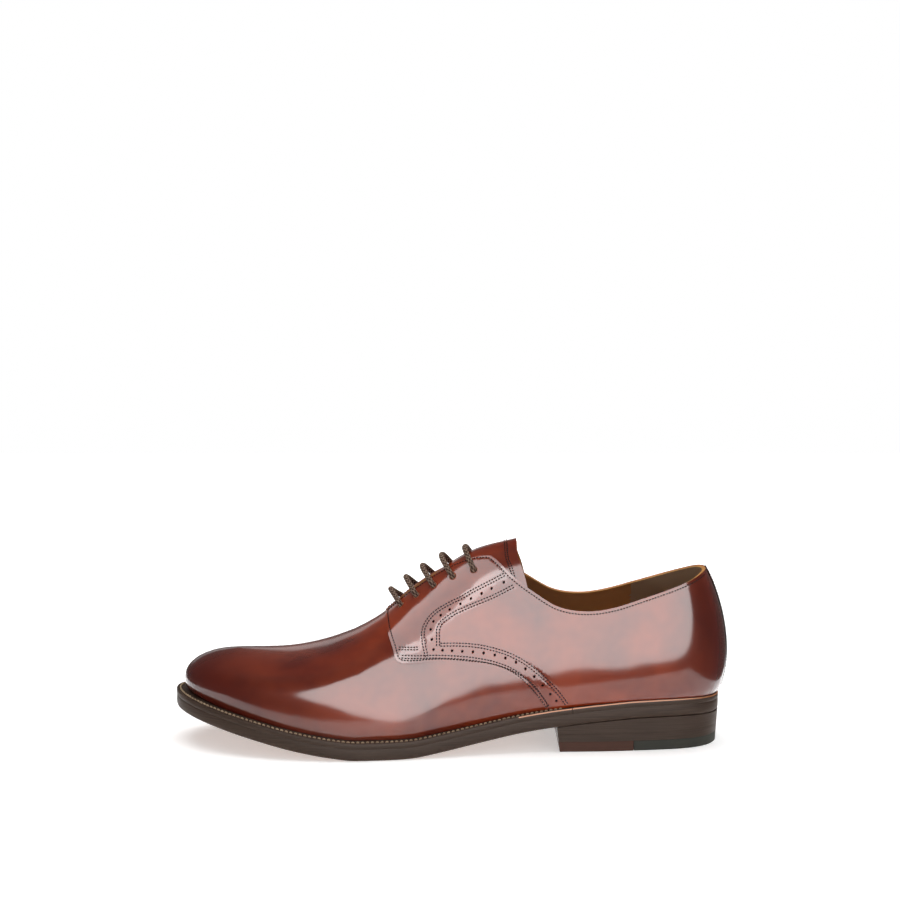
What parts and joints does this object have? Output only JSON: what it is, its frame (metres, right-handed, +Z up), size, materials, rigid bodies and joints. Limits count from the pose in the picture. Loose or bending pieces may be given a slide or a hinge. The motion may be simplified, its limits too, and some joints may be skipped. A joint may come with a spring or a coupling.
{
  "type": "plain-toe derby shoe",
  "caption": "Laced leather dress shoe with a plain toe, open-laced quarters with a perforated band, a stitched welt and a low stacked heel.",
  "frame": {"origin": "on the floor under the heel, 32 mm forward of the back of the sole, on the middle line of the sole", "axes": "+X towards the toe, +Y towards the outer side of this left shoe, +Z up"},
  "size_m": [0.3054, 0.105, 0.1115],
  "materials": {
    "upper_leather": "polished chestnut calf with a high shine",
    "lining_leather": "matt natural lining leather",
    "welt_leather": "dark waxed leather edge",
    "sole_leather": "stained and waxed sole leather",
    "heel_rubber": "matt dark rubber",
    "lace_cotton": "round waxed cotton braid"
  },
  "bodies": {
    "root": {"upper": "upper_leather", "tongue": "upper_leather", "insole": "lining_leather", "welt": "welt_leather", "heel_rand": "welt_leather", "outsole": "sole_leather", "heel_lift_1": "sole_leather", "heel_lift_2": "sole_leather", "top_lift_rubber": "heel_rubber", "top_lift_leather": "sole_leather", "lace_bar_1": "lace_cotton", "lace_bar_2": "lace_cotton", "lace_bar_3": "lace_cotton", "lace_bar_4": "lace_cotton", "lace_bar_5": "lace_cotton"}
  },
  "joints": []
}
